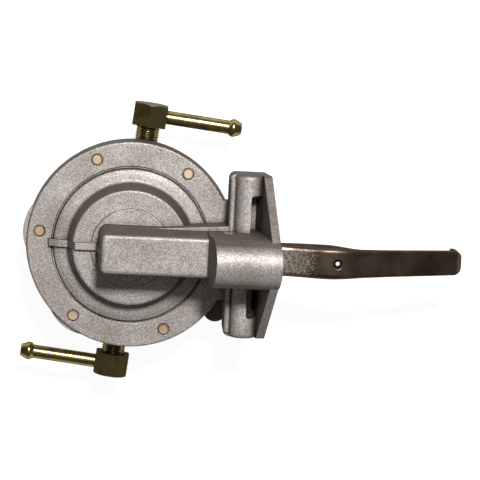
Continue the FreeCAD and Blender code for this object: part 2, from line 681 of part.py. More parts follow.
def housing_facing(body, s):
    """Machines the mounting face: nothing is left in front of its plane."""
    face = sketch_on(body, "facing", "YZ_Plane", (0, s.rim_top, s.flange_face), s.flange_tilt)
    mirrored_outline(face, [(s.ear_half_span * 2, -s.ear_half_span * 2),
                            (s.ear_half_span * 2, s.ear_half_span * 2)])
    pocket(body, face, 40, back=True)


def housing_pockets(body, s):
    """The upright pockets behind the mounting plate, which closes them in front."""
    front = s.flange_face + s.flange_thickness
    for name, side in (("pocket_far", 1), ("pocket_near", -1)):
        well = sketch_on(body, name, offset=(0, -s.flange_aside, s.rim_top + s.pocket_floor))
        inner = s.neck_radius - 0.5
        outline(well, [(s.pocket_left, side * inner), (front, side * inner),
                       (front, side * s.pocket_end),
                       (s.pocket_left, side * s.pocket_end, s.pocket_corner)])
        pocket(body, well, s.ridge_height, back=True)


def housing_inside(body, s, z):
    """The diaphragm's space, the rocker's cavity, and the lever's window to the flange."""
    recess = outline(sketch_on(body, "recess", "XZ_Plane"), [
        (0, z.clamp - 1), (s.chamber_radius, z.clamp - 1), (s.chamber_radius, z.clamp),
        (s.chamber_radius - 1, s.rim_top - s.casting_wall),
        (s.foot_radius + 1.5, s.rim_top - s.casting_wall + 2.4),
        (s.foot_radius - 2.5, s.rim_top + s.bead_height - 1.6),
        (s.disc_radius - 3, z.ceiling), (0, z.ceiling)])
    groove(body, recess)
    cavity = outline(sketch_on(body, "cavity", "XZ_Plane"), [
        (-s.cavity_left, z.cavity_floor), (s.neck_foot + s.neck_lean + s.neck_wall + 1, z.cavity_floor),
        (s.neck_foot + s.neck_lean + s.neck_wall + 1, z.cavity_roof), (-s.cavity_left, z.cavity_roof)])
    pocket(body, cavity, s.cavity_half_width * 2, both=True)
    window = sketch_on(body, "window", "YZ_Plane",
                       (-s.flange_aside, 0, s.neck_foot + s.neck_lean + s.neck_wall))
    arch(window, s.neck_radius - s.neck_wall, z.window_floor, z.neck_axis)
    pocket(body, window, 60, back=True)


def housing_holes(body, s, z):
    """Rod hole and seal pocket, pin hole, mounting holes, and the screws' tapped holes."""
    seal = circle(sketch_on(body, "seal_pocket", offset=(0, 0, z.ceiling)), (0, 0), s.seal_radius)
    pocket(body, seal, s.seal_height, back=True)
    rod = circle(sketch_on(body, "rod_hole", offset=(0, 0, z.ceiling)), (0, 0), s.rod_hole_radius)
    pocket(body, rod, z.cavity_floor - z.ceiling + 1, back=True)
    pin = circle(sketch_on(body, "pin_hole", "XZ_Plane"), (s.pivot_x, z.pivot), s.pin_radius)
    pocket(body, pin, s.neck_radius * 3, both=True)
    for name, side in (("bolt_hole_far", 1), ("bolt_hole_near", -1)):
        hole = sketch_on(body, name, "YZ_Plane", (-s.flange_aside, s.rim_top, s.flange_face), s.flange_tilt)
        circle(hole, (side * s.bolt_spacing / 2, s.bolt_height), s.bolt_hole_radius)
        pocket(body, hole, 40)
    tapped = circle(sketch_on(body, "screw_hole", offset=(0, 0, z.clamp)),
                    (s.screw_circle * cosine(s.port_turn), -s.screw_circle * sine(s.port_turn)),
                    s.screw_radius + s.thread_play)
    shaft = pocket(body, tapped, s.rim_thickness + 1, back=True)
    mouth = circle(sketch_on(body, "screw_mouth", offset=(0, 0, s.rim_top - 0.5)),
                   (s.screw_circle * cosine(s.port_turn), -s.screw_circle * sine(s.port_turn)),
                   s.countersink_radius)
    wide = pocket(body, mouth, 2, back=True)
    polar_copies(body, [shaft, wide], 6)


def rocker_housing(doc, s, z):
    body = new_body(doc, "rocker_housing")
    housing_dome(body, s, z)
    housing_rib(body, s)
    housing_lugs(body, s, z)
    housing_box(body, s)
    housing_flange(body, s, z)
    housing_neck(body, s, z)
    housing_facing(body, s)
    housing_inside(body, s, z)
    housing_holes(body, s, z)
    return body


def fuel_chamber(doc, s, z):
    """The lower casting: diaphragm floor, valve bosses, two chambers, ports and side boss."""
    body = new_body(doc, "fuel_chamber")
    rim = s.rim_radius + s.rim_flare - s.body_rim_inset
    turned(body, "casting", [
        (0, z.floor), (s.chamber_floor_radius, z.floor), (s.chamber_radius - 1, z.body_top),
        (rim, z.body_top), (rim - 0.3, z.body_rim_low), (s.body_radius, z.body_rim_low, 0.8),
        (s.body_radius - 0.8, s.body_base + s.body_foot_height),
        (s.body_foot_radius, s.body_base + s.body_foot_height), (s.body_foot_radius, s.body_base),
        (0, s.body_base)])
    chamber = circle(sketch_on(body, "chambers", offset=(0, 0, s.body_base)), (0, 0),
                     s.body_radius - s.body_wall)
    pocket(body, chamber, z.web_low - s.body_base, back=True)
    inner = s.body_radius - s.body_wall / 2
    divider = outline(sketch_on(body, "divider", offset=(0, 0, s.body_base)), [
        (-inner, -s.divider_thickness / 2), (inner, -s.divider_thickness / 2),
        (inner, s.divider_thickness / 2), (-inner, s.divider_thickness / 2)])
    pad(body, divider, z.web_low - s.body_base + 1)
    for name, side in (("outlet", 1), ("inlet", -1)):
        boss = circle(sketch_on(body, name + "_valve_boss", offset=(0, 0, z.valve_low)),
                      (0, side * s.valve_offset), s.valve_boss_radius)
        pad(body, boss, s.valve_depth - 1)
        port = circle(sketch_on(body, name + "_port_boss", "XZ_Plane", (0, 0, -side * s.port_face)),
                      (0, z.port), s.port_boss_radius)
        pad(body, port, s.port_face - s.chamber_radius + 2, back=side < 0)
    for name, side in (("outlet", 1), ("inlet", -1)):
        well = circle(sketch_on(body, name + "_valve_pocket", offset=(0, 0, z.valve_low - 1)),
                      (0, side * s.valve_offset), s.valve_pocket_radius)
        pocket(body, well, s.valve_depth + 3, back=True)
        passage = circle(sketch_on(body, name + "_passage", "XZ_Plane", (0, 0, -side * s.port_face)),
                         (0, z.port), s.port_bore_radius)
        pocket(body, passage, s.port_face - s.body_radius + s.body_wall + 3, back=side > 0)
        clear = s.port_inset * 2
        thread = circle(sketch_on(body, name + "_thread", "XZ_Plane", (0, 0, -side * (s.port_face + clear))),
                        (0, z.port), s.stem_radius + s.thread_play)
        pocket(body, thread, s.stem_engagement + clear + 1, back=side > 0)
    side_boss(body, s)
    hole = circle(sketch_on(body, "screw_hole", offset=(0, 0, z.body_rim_low - 2)), (s.screw_circle, 0),
                  s.screw_radius + s.thread_play * 5)
    shaft = pocket(body, hole, s.body_rim_thickness + 4, back=True)
    polar_copies(body, [shaft], 6)
    turn_with_ports(body, s)
    return body


def side_boss(body, s):
    """The undrilled round boss beside the flange and the web that carries it."""
    angle = -30
    along = (math.cos(math.radians(angle)), math.sin(math.radians(angle)))
    across = (-along[1], along[0])

    def place(reach, aside):
        return (reach * along[0] + aside * across[0], reach * along[1] + aside * across[1])

    low = s.side_boss_top - s.side_boss_height
    web = sketch_on(body, "side_boss_web", offset=(0, 0, low))
    half = s.side_boss_web / 2
    outline(web, [place(s.body_radius - 2, -half), place(s.side_boss_reach, -half),
                  place(s.side_boss_reach, half), place(s.body_radius - 2, half)])
    pad(body, web, s.side_boss_height * 0.7)
    boss = circle(sketch_on(body, "side_boss", offset=(0, 0, low)), place(s.side_boss_reach, to_size(0)),
                  s.side_boss_radius)
    pad(body, boss, s.side_boss_height)


def clamp_screws(doc, s, z):
    """Six hexagon-headed screws, put in from below; their tips stand proud of the rim."""
    body = new_body(doc, "clamp_screws")
    body.AllowCompound = True
    head_top = z.body_rim_low - s.lock_washer_height
    head = polygon(sketch_on(body, "head", offset=(0, 0, head_top - s.screw_head_height)),
                   (s.screw_circle, to_size(0)), s.screw_across_flats, first_angle=30)
    head_pad = pad(body, head, s.screw_head_height)
    shank = circle(sketch_on(body, "shank", offset=(0, 0, head_top)), (s.screw_circle, 0), s.screw_radius)
    shank_pad = pad(body, shank, s.rim_top + s.screw_tip - 0.5 - head_top)
    tip = circle(sketch_on(body, "tip", offset=(0, 0, s.rim_top + s.screw_tip - 0.5)),
                 (s.screw_circle, 0), s.screw_radius)
    tip_pad = pad(body, tip, 0.5)
    bind(tip_pad, "TaperAngle", -40)
    polar_copies(body, [head_pad, shank_pad, tip_pad], 6)
    turn_with_ports(body, s)
    return body


def lock_washers(doc, s, z):
    body = new_body(doc, "lock_washers")
    body.AllowCompound = True
    washer = sketch_on(body, "washer", offset=(0, 0, z.body_rim_low - s.lock_washer_height))
    ring(washer, (s.screw_circle, 0), s.screw_radius + s.thread_play * 4, s.lock_washer_radius)
    polar_copies(body, [pad(body, washer, s.lock_washer_height)], 6)
    turn_with_ports(body, s)
    return body


def diaphragm(doc, s, z):
    """The moulded membrane: a clamped ring, a sloping convolution and a flat middle."""
    body = new_body(doc, "diaphragm")
    rim = s.rim_radius + s.rim_flare - s.body_rim_inset * 2
    flat = s.plate_radius + 1
    turned(body, "membrane", [
        (s.rod_radius, z.membrane_low), (flat, z.membrane_low), (s.chamber_radius - 1.4, z.body_top),
        (rim, z.body_top), (rim, z.clamp), (s.chamber_radius - 1.6, z.clamp),
        (flat - 0.2, z.membrane_top), (s.rod_radius, z.membrane_top)])
    hole = circle(sketch_on(body, "screw_hole", offset=(0, 0, z.body_top - 1)),
                  (s.screw_circle * cosine(s.port_turn), -s.screw_circle * sine(s.port_turn)),
                  s.screw_radius + s.thread_play * 5)
    shaft = pocket(body, hole, s.membrane_thickness + 2, back=True)
    polar_copies(body, [shaft], 6)
    return body


def washer_plate(doc, name, inner, outer, low, height):
    body = new_body(doc, name)
    pad(body, ring(sketch_on(body, "plate", offset=(0, 0, low)), (0, 0), inner, outer), height)
    return body


def protector_plate(doc, name, s, low, lip_up):
    """A pressed disc whose edge is turned away from the membrane."""
    body = new_body(doc, name)
    high = low + s.plate_thickness
    turned(body, "pressing", [
        (s.rod_radius, low), (s.plate_radius - 1.2, low), (s.plate_radius, low + s.plate_thickness * 0.6),
        (s.plate_radius, high + s.plate_thickness), (s.plate_radius - 1, high + s.plate_thickness),
        (s.plate_radius - 1.6, high), (s.rod_radius, high)] if lip_up else [
        (s.rod_radius, low), (s.plate_radius - 0.8, low), (s.plate_radius, low + s.plate_thickness * 0.5),
        (s.plate_radius, high), (s.rod_radius, high)])
    return body


def pull_rod(doc, s, z):
    body = new_body(doc, "pull_rod")
    low = z.floor + s.rod_end
    turned(body, "rod", [
        (0, low), (s.rod_radius - 0.3, low), (s.rod_radius, low + 0.3), (s.rod_radius, z.head_low),
        (s.rod_head_radius, z.head_low), (s.rod_head_radius, z.head_low + s.rod_head_height - 0.6),
        (s.rod_head_radius - 0.6, z.head_low + s.rod_head_height), (0, z.head_low + s.rod_head_height)])
    return body


def compression_coil(doc, name, s, coil_radius, wire_radius, turns, low, high, x=0):
    body = new_body(doc, name)
    coil(body, "wire", coil_radius, wire_radius, low + s.seat_gap, high - low - s.seat_gap * 2, turns, x)
    return body


def arm_profiles(s):
    """The lever's top and underside from the side, and the ceiling of its channel."""
    slope = (s.arm_bend_height - s.arm_tip_height) / (s.arm_reach - s.arm_bend_x)

    def strip_low(past_bend):
        return s.arm_bend_height - slope * past_bend - s.arm_strip * 1.06

    inner_face = s.arm_reach - s.arm_tip_depth
    bottom = s.arm_tip_height - s.arm_tip_drop
    top = [(s.pivot_x - 3.4, s.arm_crown_height), (s.pivot_x + 3, s.arm_crown_height, 5),
           (s.arm_spring_x - 5.5, s.arm_waist_height, 5), (s.arm_waist_x, s.arm_waist_height, 30),
           (s.arm_bend_x, s.arm_bend_height, s.arm_bend_round),
           (s.arm_reach, s.arm_tip_height, s.arm_tip_round), (s.arm_reach, bottom)]
    low = [(inner_face, bottom), (inner_face, strip_low(inner_face - s.arm_bend_x), 2.5),
           (s.arm_bend_x + 9.5, strip_low(9.5), 8),
           (s.arm_bend_x - 1.5, s.arm_bend_height - s.arm_depth - 1, 12),
           (s.arm_waist_x + 4, s.arm_waist_height + 0.5 - s.arm_depth, 30),
           (s.pivot_x + 12, s.arm_crown_height - s.arm_depth - 1, 10),
           (s.pivot_x + 2, s.pivot_height - s.arm_eye_radius + 0.3),
           (s.pivot_x - s.arm_eye_radius + 1, s.pivot_height)]
    left = s.pivot_x - s.arm_eye_radius - 1
    channel = [(left, s.arm_crown_height - s.arm_sheet)]
    channel += [(along, height - s.arm_sheet, radius) for along, height, radius in top[1:4]]
    channel += [(s.arm_bend_x - 0.4, s.arm_bend_height - s.arm_sheet, s.arm_bend_round),
                (s.arm_bend_x + 10.5, strip_low(10.5) - 0.3), (s.arm_bend_x + 10.5, s.pivot_height - 10),
                (left, s.pivot_height - 14)]
    return top, low, channel


def rocker_arm(doc, s, z):
    """The stamped arm: an open channel round the pin and spring, flattening to a turned-down tip."""
    body = new_body(doc, "rocker_arm")
    top, low, channel = arm_profiles(s)
    side = sketch_on(body, "side", "XZ_Plane", (0, s.rim_top, 0))
    pad(body, outline(side, top + low), s.arm_half_width * 2, both=True)

    def folded(edge):
        box = edge.BoundBox
        middle = edge.valueAt((edge.FirstParameter + edge.LastParameter) / 2)
        beneath = Vector(middle.x - 0.3, 0, middle.z - 0.3)
        above = Vector(middle.x + 0.3, 0, middle.z + 0.3)
        shape = body.Shape
        return box.YMax - box.YMin < 0.01 and shape.isInside(beneath, 0.01, False) \
            and not shape.isInside(above, 0.01, False)

    soften(body, "Fillet", s.arm_fold, folded)
    arm_plan(body, s)
    eye = circle(sketch_on(body, "eye", "XZ_Plane"), (s.pivot_x, z.pivot), s.arm_eye_radius)
    pad(body, eye, s.arm_root_half_width * 2, both=True)
    hollow = outline(sketch_on(body, "channel", "XZ_Plane", (0, s.rim_top, 0)), channel)
    pocket(body, hollow, (s.arm_root_half_width - s.arm_sheet + 0.2) * 2, both=True)
    arm_tail(body, s)
    pin = circle(sketch_on(body, "pin_hole", "XZ_Plane"), (s.pivot_x, z.pivot), s.pin_radius + s.running_play)
    pocket(body, pin, s.arm_half_width * 3, both=True)
    arm_hole(body, s)
    return body


def arm_hole(body, s):
    """The small hole at the bend, at the bottom of a punched funnel."""
    crown = s.rim_top + s.arm_bend_height - s.arm_bend_round * 0.037
    hole = circle(sketch_on(body, "hole", offset=(0, 0, s.rim_top)), (s.arm_bend_x, 0), s.arm_hole_radius)
    pocket(body, hole, s.arm_bend_height + 5, back=True)
    mouth = circle(sketch_on(body, "dimple", offset=(0, 0, crown + 0.6)), (s.arm_bend_x, 0),
                   s.arm_dimple_radius + 0.4)
    cone = pocket(body, mouth, s.arm_dimple_depth)
    bind(cone, "TaperAngle", -36)


def arm_plan(body, s):
    """The arm's width in plan: parallel inside the housing, then narrowing to its rounded tip."""
    inner_end = s.pivot_x - s.arm_eye_radius - 1
    for name, side in (("plan_far", 1), ("plan_near", -1)):
        beyond = sketch_on(body, name)
        outline(beyond, [
            (inner_end, side * s.arm_root_half_width), (s.arm_waist_x, side * s.arm_root_half_width, 80),
            (s.arm_bend_x - 4, side * s.arm_half_width, 50),
            (s.arm_bend_x + 12, side * (s.arm_tip_half_width + 0.9), 30),
            (s.arm_bend_x + 26, side * (s.arm_tip_half_width + 0.5), 60),
            (s.arm_reach, side * s.arm_tip_half_width, s.arm_tip_corner), (s.arm_reach, 0),
            (s.arm_reach + 4, 0), (s.arm_reach + 4, side * (s.arm_half_width + 3)),
            (inner_end, side * (s.arm_half_width + 3))])
        pocket(body, beyond, s.rim_top * 3, back=True)


def arm_tail(body, s):
    """The tab under the link, which lifts it, and its root between the channel's walls."""
    high = s.rim_top + s.tail_height
    low = high - s.arm_sheet - 0.5
    inner = s.pivot_x - s.arm_eye_radius + 2.4
    root = outline(sketch_on(body, "tail_root", "XZ_Plane"), [
        (inner, low), (s.pivot_x, low - 1.5), (s.pivot_x, high - 1.6), (inner, high)])
    pad(body, root, s.arm_half_width * 2, both=True)
    tab = outline(sketch_on(body, "tail", "XZ_Plane"), [
        (s.tail_x, low + 0.6), (inner + 1, low), (inner + 1, high), (s.tail_x, high)])
    pad(body, tab, (s.cavity_half_width - 1) * 2, both=True)


def link(doc, s, z):
    """The link from the pin to the pull rod: an eye, a tapering arm and a round-ended fork."""
    body = new_body(doc, "link")
    end_z = s.rim_top + s.link_end_height
    eye = circle(sketch_on(body, "eye", "XZ_Plane"), (s.pivot_x, z.pivot), s.link_eye_radius)
    pad(body, eye, s.link_half_width * 2, both=True)
    arm = outline(sketch_on(body, "arm", "XZ_Plane"), [
        (0, end_z - 1.8), (s.tail_x, s.rim_top + s.tail_height + s.lift_play), (s.pivot_x, z.pivot - 3),
        (s.pivot_x, z.pivot + 3), (s.tail_x, z.pivot), (0, end_z + 1.8)])
    pad(body, arm, s.link_arm_half_width * 2, both=True)
    tip = circle(sketch_on(body, "end", "XZ_Plane"), (0, end_z), s.link_end_radius)
    pad(body, tip, (s.cavity_half_width - 1) * 2, both=True)
    pin = circle(sketch_on(body, "pin_hole", "XZ_Plane"), (s.pivot_x, z.pivot), s.pin_radius + s.running_play)
    pocket(body, pin, s.link_half_width * 3, both=True)
    slot = outline(sketch_on(body, "slot", offset=(0, 0, s.rim_top)), [
        (-s.link_end_radius - 1, -s.link_slot_half_width), (s.rod_radius + 1.6, -s.link_slot_half_width),
        (s.rod_radius + 1.6, s.link_slot_half_width), (-s.link_end_radius - 1, s.link_slot_half_width)])
    pocket(body, slot, s.pivot_height + 10, back=True)
    return body


def pivot_pin(doc, s, z):
    body = new_body(doc, "pivot_pin")
    pin = circle(sketch_on(body, "pin", "XZ_Plane", (0, 0, s.flange_aside)), (s.pivot_x, z.pivot),
                 s.pin_radius)
    pad(body, pin, s.neck_radius * 2, both=True)
    return body


def valve(doc, side_name, s, z):
    """One check valve: seat, disc, spring and cage, stacked in its pocket."""
    side = 1 if side_name == "outlet" else -1
    centre = (0, side * s.valve_offset)
    bore = s.valve_pocket_radius
    lift = side_name == "inlet"
    seat_low = z.valve_low if lift else z.floor - s.valve_plate
    cage_low = z.floor - s.valve_plate if lift else z.valve_low
    disc_low = seat_low + s.valve_plate if lift else seat_low - s.valve_disc_thickness
    spring_low = disc_low + s.valve_disc_thickness if lift else cage_low + s.valve_plate
    spring_high = cage_low if lift else disc_low
    made = []
    for name, low in (("seat", seat_low), ("cage", cage_low)):
        body = new_body(doc, f"{side_name}_valve_{name}")
        opening = s.valve_port_radius if name == "seat" else s.valve_port_radius * 0.5
        pad(body, ring(sketch_on(body, "plate", offset=(0, 0, low)), centre, opening, bore), s.valve_plate)
        if name == "cage":
            port = circle(sketch_on(body, "port", offset=(0, 0, low)),
                          (s.valve_port_radius * 1.45, side * s.valve_offset), s.valve_port_radius * 0.4)
            mirror = circle(sketch_on(body, "port_left", offset=(0, 0, low)),
                            (-s.valve_port_radius * 1.45, side * s.valve_offset), s.valve_port_radius * 0.4)
            pocket(body, port, s.valve_plate, back=True)
            pocket(body, mirror, s.valve_plate, back=True)
        made.append(body)
    disc = new_body(doc, f"{side_name}_valve_disc")
    pad(disc, circle(sketch_on(disc, "disc", offset=(0, 0, disc_low)), centre, s.valve_disc_radius),
        s.valve_disc_thickness)
    spring = new_body(doc, f"{side_name}_valve_spring")
    coil(spring, "wire", s.valve_spring_coil_radius, s.valve_spring_wire_radius,
         spring_low + s.seat_gap / 2, spring_high - spring_low - s.seat_gap, s.valve_spring_turns)
    for body in made + [disc]:
        turn_with_ports(body, s)
    reach = side * s.valve_offset
    spring.Placement = Placement(Vector((reach * sine(s.port_turn)).number,
                                        (reach * cosine(s.port_turn)).number, 0), Rotation())
    bind(spring, "Placement.Base.x", reach * sine(s.port_turn))
    bind(spring, "Placement.Base.y", reach * cosine(s.port_turn))
    return made + [disc, spring]


def pulsator_cover(doc, s, z):
    """The pressed cap: a flat foot, a ring that seats the pulsator and a crimped edge."""
    body = new_body(doc, "pulsator_cover")
    thick = s.cover_thickness
    seat = s.body_base - s.pulsator_thickness
    grip = s.body_foot_radius + s.running_play
    crimp = s.body_base + s.body_foot_height
    turned(body, "pressing", [
        (0, 0), (s.cover_foot_radius, 0, s.cover_round), (s.cover_foot_radius + 0.9, seat - thick),
        (grip + thick, seat - thick), (grip + thick, crimp + thick), (grip - s.cover_curl, crimp + thick),
        (grip - s.cover_curl, crimp), (grip, crimp), (grip, seat), (s.cover_foot_radius - 0.4, seat),
        (s.cover_foot_radius - thick, thick, s.cover_round - thick), (0, thick)])
    return body


def pulsator(doc, s, z):
    body = new_body(doc, "pulsator_diaphragm")
    disc = circle(sketch_on(body, "disc", offset=(0, 0, s.body_base - s.pulsator_thickness)), (0, 0),
                  s.body_foot_radius)
    pad(body, disc, s.pulsator_thickness)
    return body


def elbow(doc, side_name, s, z):
    """A hexagon with a threaded stem and a socket for the hose nipple."""
    side = 1 if side_name == "outlet" else -1
    body = new_body(doc, f"{side_name}_elbow")
    far = s.elbow_centre + s.elbow_length / 2
    near = s.elbow_centre - s.elbow_length / 2
    stem_end = s.port_face - s.stem_engagement
    centre = (to_size(0), z.port)
    block = sketch_on(body, "hexagon", "XZ_Plane", (0, 0, -side * near))
    polygon(block, centre, s.elbow_across_flats, first_angle=90)
    pad(body, block, s.elbow_length, back=side > 0)
    stem = circle(sketch_on(body, "stem", "XZ_Plane", (0, 0, -side * stem_end)), centre, s.stem_radius)
    pad(body, stem, s.stem_engagement, back=side > 0)
    bare = circle(sketch_on(body, "bare_stem", "XZ_Plane", (0, 0, -side * s.port_face)), centre,
                  s.stem_root_radius)
    pad(body, bare, near - s.port_face, back=side > 0)
    corner = s.elbow_across_flats / 2
    chamfer = outline(sketch_on(body, "chamfer", offset=(0, 0, z.port)), [
        (corner - 0.1, side * (far + 0.1)), (corner + 3, side * (far + 0.1)),
        (corner + 3, side * (far - s.elbow_chamfer * 1.4)), (corner - 0.1, side * far)])
    groove(body, chamfer)
    bore = circle(sketch_on(body, "bore", "XZ_Plane", (0, 0, -side * stem_end)), centre, s.elbow_bore_radius)
    pocket(body, bore, s.elbow_centre + s.elbow_bore_radius - stem_end, back=side < 0)
    start = s.elbow_across_flats / 2 - s.tube_socket
    socket = circle(sketch_on(body, "socket", "YZ_Plane", (0, 0, side * start)),
                    (side * s.elbow_centre, z.port), s.tube_spigot_radius)
    pocket(body, socket, s.tube_socket + 1, back=side > 0)
    cross = circle(sketch_on(body, "cross_bore", "YZ_Plane"), (side * s.elbow_centre, z.port),
                   s.tube_bore_radius)
    pocket(body, cross, start + 1, back=side > 0)
    turn_with_ports(body, s)
    return body


def nipple(doc, side_name, s, z):
    """The hose nipple: a drawn tube with a rolled bead and a tapered lead-in."""
    side = 1 if side_name == "outlet" else -1
    body = new_body(doc, f"{side_name}_nipple")
    start = s.elbow_across_flats / 2 - s.tube_socket
    bead = s.tube_reach - s.tube_bead_length
    profile = [(start, s.tube_bore_radius), (s.tube_reach, s.tube_bore_radius),
               (s.tube_reach, s.tube_tip_radius - 0.2), (s.tube_reach - 0.3, s.tube_tip_radius),
               (bead + 3.4, s.tube_bead_radius - 0.25), (bead + 2.7, s.tube_bead_radius),
               (bead + 1.9, s.tube_bead_radius), (bead + 1.1, s.tube_bead_radius - 0.3),
               (bead, s.tube_radius), (s.elbow_across_flats / 2, s.tube_radius),
               (s.elbow_across_flats / 2, s.tube_spigot_radius), (start, s.tube_spigot_radius)]
    sketch = sketch_on(body, "tube", offset=(0, side * s.elbow_centre, z.port))
    revolve(body, outline(sketch, [(side * along, radius) for along, radius in profile]), "H_Axis")
    turn_with_ports(body, s)
    return body


def build_parts(doc, s):
    z = levels(s)
    parts = [rocker_housing(doc, s, z), fuel_chamber(doc, s, z), clamp_screws(doc, s, z),
             lock_washers(doc, s, z), diaphragm(doc, s, z)]
    parts.append(protector_plate(doc, "upper_protector_plate", s, z.membrane_top, True))
    parts.append(protector_plate(doc, "lower_protector_plate", s, z.membrane_low - s.plate_thickness, False))
    parts.append(pull_rod(doc, s, z))
    nut_high = z.membrane_low - s.plate_thickness
    parts.append(washer_plate(doc, "rod_collar", s.rod_radius, s.nut_radius, nut_high - s.nut_height,
                              s.nut_height))
    parts.append(washer_plate(doc, "rod_seal", s.rod_radius + s.running_play,
                              s.seal_radius, z.ceiling, s.seal_height))
    retainer_low = z.ceiling - s.retainer_height
    parts.append(washer_plate(doc, "seal_retainer", s.rod_radius + 1, s.retainer_radius, retainer_low,
                              s.retainer_height))
    parts.append(compression_coil(doc, "diaphragm_spring", s, s.spring_coil_radius, s.spring_wire_radius,
                                  s.spring_turns, z.membrane_top + s.plate_thickness, retainer_low))
    parts += [rocker_arm(doc, s, z), link(doc, s, z), pivot_pin(doc, s, z)]
    spring_top = s.rim_top + s.arm_waist_height - s.arm_sheet
    parts.append(compression_coil(doc, "rocker_spring", s, s.arm_spring_coil_radius,
                                  s.arm_spring_wire_radius, s.arm_spring_turns, z.window_floor, spring_top,
                                  x=s.arm_spring_x))
    for side_name in ("inlet", "outlet"):
        parts += valve(doc, side_name, s, z)
        parts += [elbow(doc, side_name, s, z), nipple(doc, side_name, s, z)]
    parts += [pulsator(doc, s, z), pulsator_cover(doc, s, z)]
    return parts


def check(doc, parts):
    """Stops with a plain message if any object failed or any piece is not a sound solid."""
    doc.recompute()
    failed = [item.Label for item in doc.Objects if {"Invalid", "Error"} & set(item.State)]
    if failed:
        raise RuntimeError("objects that failed: " + ", ".join(failed))
    for part in parts:
        shape = part.Shape
        if shape.isNull() or not shape.isValid() or not shape.Solids:
            raise RuntimeError(part.Label + " is not a valid solid")


def main():
    doc = FreeCAD.newDocument("FuelPump")
    parts = build_parts(doc, derive(fill_sheet(doc)))
    check(doc, parts)
    os.makedirs("parts", exist_ok=True)
    for part in parts:
        part.Shape.exportStep(f"parts/{part.Label}.step")
        print(f"{part.Label}: {len(part.Shape.Solids)} solid(s), {part.Shape.Volume:.1f} mm3")


main()
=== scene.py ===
import json
import math

import bmesh
import bpy
from mathutils import Matrix, Vector


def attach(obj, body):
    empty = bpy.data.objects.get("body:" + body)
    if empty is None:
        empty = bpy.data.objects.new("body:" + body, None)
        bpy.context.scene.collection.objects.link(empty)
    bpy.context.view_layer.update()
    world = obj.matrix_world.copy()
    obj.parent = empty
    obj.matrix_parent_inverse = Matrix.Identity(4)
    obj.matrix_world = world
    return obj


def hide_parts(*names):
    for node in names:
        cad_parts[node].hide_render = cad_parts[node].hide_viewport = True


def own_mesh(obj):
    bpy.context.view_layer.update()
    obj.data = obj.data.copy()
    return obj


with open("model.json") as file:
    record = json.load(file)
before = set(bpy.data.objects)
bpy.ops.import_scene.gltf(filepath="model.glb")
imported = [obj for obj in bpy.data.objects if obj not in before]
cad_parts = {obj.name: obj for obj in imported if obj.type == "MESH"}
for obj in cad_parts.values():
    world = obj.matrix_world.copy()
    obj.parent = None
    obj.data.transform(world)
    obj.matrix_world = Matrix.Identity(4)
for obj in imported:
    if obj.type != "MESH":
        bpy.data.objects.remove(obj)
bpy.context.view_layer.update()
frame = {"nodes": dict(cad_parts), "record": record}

MM = 0.001
MOUNTS = {mount["name"]: mount for mount in frame["record"]["mounts"]}
NIPPLE_AXIS = MOUNTS["outlet_hose"]["axis"]
PORT_TURN = math.atan2(NIPPLE_AXIS[1], NIPPLE_AXIS[0])  # nipples and ports turn by one angle
PORT_HEIGHT = MOUNTS["outlet_hose"]["pos_m"][2]
FLANGE_NORMAL = MOUNTS["engine_flange"]["axis"]
FACE_LIMIT = 0.998  # the cosine of 3.6 degrees, within which a face counts as the mounting face
WEAR_START, WEAR_END = 85 * MM, 98 * MM  # along X, where the arm's rubbed web fades to scale
PUMP = (0.03, 0, 0.04)  # where the lamps aim
FLOOR_REACH = 40.0  # metres from the pump to each edge, so that low views see no end
UNDER, OVER = 6, 7  # the Mix node's two colour sockets
LAID_OVER = {"data_type": "RGBA"}
MULTIPLIED = {"data_type": "RGBA", "blend_type": "MULTIPLY"}


def colour(code):
    """An sRGB hex value as the linear colour that the shaders work in."""
    parts = [int(code[i:i + 2], 16) / 255 for i in (0, 2, 4)]
    return [c / 12.92 if c <= 0.04045 else ((c + 0.055) / 1.055) ** 2.4 for c in parts] + [1.0]


def add(tree, kind, inputs=None, stops=(), **settings):
    """One node with its settings and links; returns the node.

    An input is a value, a socket, or a node that stands for the first output it has in use.
    A colour ramp's stops are pairs of position and hex value.
    """
    node = tree.nodes.new("ShaderNode" + kind)
    for name, value in settings.items():
        setattr(node, name, value)
    for socket, value in (inputs or {}).items():
        if isinstance(value, bpy.types.Node):
            value = next(output for output in value.outputs if output.enabled)
        if isinstance(value, bpy.types.NodeSocket):
            tree.links.new(value, node.inputs[socket])
        else:
            node.inputs[socket].default_value = value
    if stops:
        marks = node.color_ramp.elements
        for place, code in stops:
            marks.new(place).color = colour(code)
        marks.remove(marks[0])
        marks.remove(marks[-1])
    return node


def finish_named(name):
    """A material with an empty tree."""
    material = bpy.data.materials.new(name)
    material.use_nodes = True
    material.node_tree.nodes.clear()
    return material, material.node_tree


def per_mm(size):
    """Texture scale for a pattern that repeats every so many millimetres."""
    return 1 / (size * MM)


